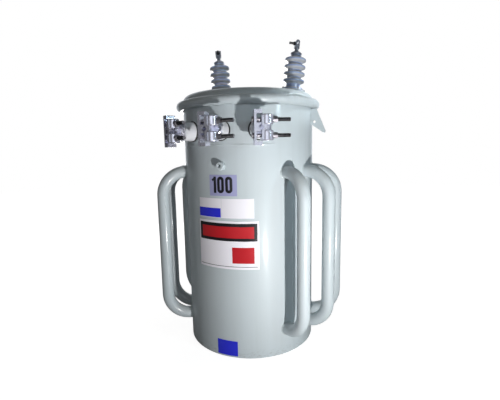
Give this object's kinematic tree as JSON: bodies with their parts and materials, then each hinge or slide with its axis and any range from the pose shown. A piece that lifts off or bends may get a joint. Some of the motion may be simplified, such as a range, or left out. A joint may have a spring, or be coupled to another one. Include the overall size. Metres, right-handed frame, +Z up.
{
  "type": "pole mounted distribution transformer",
  "caption": "Round steel transformer tank with a domed band-clamped cover, cooling tubes at its sides, porcelain bushings, cable clamps, lifting lugs and pole hanger brackets.",
  "frame": {"origin": "on the tank's axis at ground level, where the tank stands", "axes": "+Z up; -Y the front with the low voltage bushings; +Y the back with the pole hanger brackets; +X to the right of a viewer facing the front"},
  "size_m": [0.8009, 0.766, 1.3049],
  "materials": {
    "tank_paint": "glossy light sky-grey enamel",
    "gasket_rubber": "black nitrile rubber",
    "grey_porcelain": "glossy blue-grey glaze",
    "white_porcelain": "glossy pale grey glaze",
    "cast_aluminium": "cast aluminium with a bright tumbled skin",
    "ring_aluminium": "dull cast aluminium",
    "plated_steel": "plated threaded steel",
    "tinned_brass": "tin plated bronze"
  },
  "bodies": {
    "root": {"cooling_tube_left_1": "tank_paint", "cooling_tube_left_2": "tank_paint", "cooling_tube_left_3": "tank_paint", "cooling_tube_right_1": "tank_paint", "cooling_tube_right_2": "tank_paint", "cooling_tube_right_3": "tank_paint", "cover_band": "tank_paint", "cover_band_bolt": "plated_steel", "cover_gasket": "gasket_rubber", "ground_boss": "tank_paint", "hanger_bracket_lower": "tank_paint", "hanger_bracket_upper": "tank_paint", "hv_bushing_left": "grey_porcelain", "hv_bushing_right": "grey_porcelain", "hv_cap_left": "tinned_brass", "hv_cap_right": "tinned_brass", "hv_clamp_ring_left": "ring_aluminium", "hv_clamp_ring_right": "ring_aluminium", "hv_gasket_left": "gasket_rubber", "hv_gasket_right": "gasket_rubber", "hv_screw_left": "plated_steel", "hv_screw_right": "plated_steel", "hv_terminal_left": "tinned_brass", "hv_terminal_right": "tinned_brass", "lifting_lug_left": "tank_paint", "lifting_lug_right": "tank_paint", "lv_bushing_1": "white_porcelain", "lv_bushing_2": "white_porcelain", "lv_bushing_3": "white_porcelain", "lv_clamp_body_1": "cast_aluminium", "lv_clamp_body_2": "cast_aluminium", "lv_clamp_body_3": "cast_aluminium", "lv_clamp_bolts_1": "plated_steel", "lv_clamp_bolts_2": "plated_steel", "lv_clamp_bolts_3": "plated_steel", "lv_clamp_jaw_1": "cast_aluminium", "lv_clamp_jaw_2": "cast_aluminium", "lv_clamp_jaw_3": "cast_aluminium", "lv_gasket_1": "gasket_rubber", "lv_gasket_2": "gasket_rubber", "lv_gasket_3": "gasket_rubber", "tank_bottom": "tank_paint", "tank_cover": "tank_paint", "tank_rim": "tank_paint", "tank_shell": "tank_paint"}
  },
  "joints": []
}
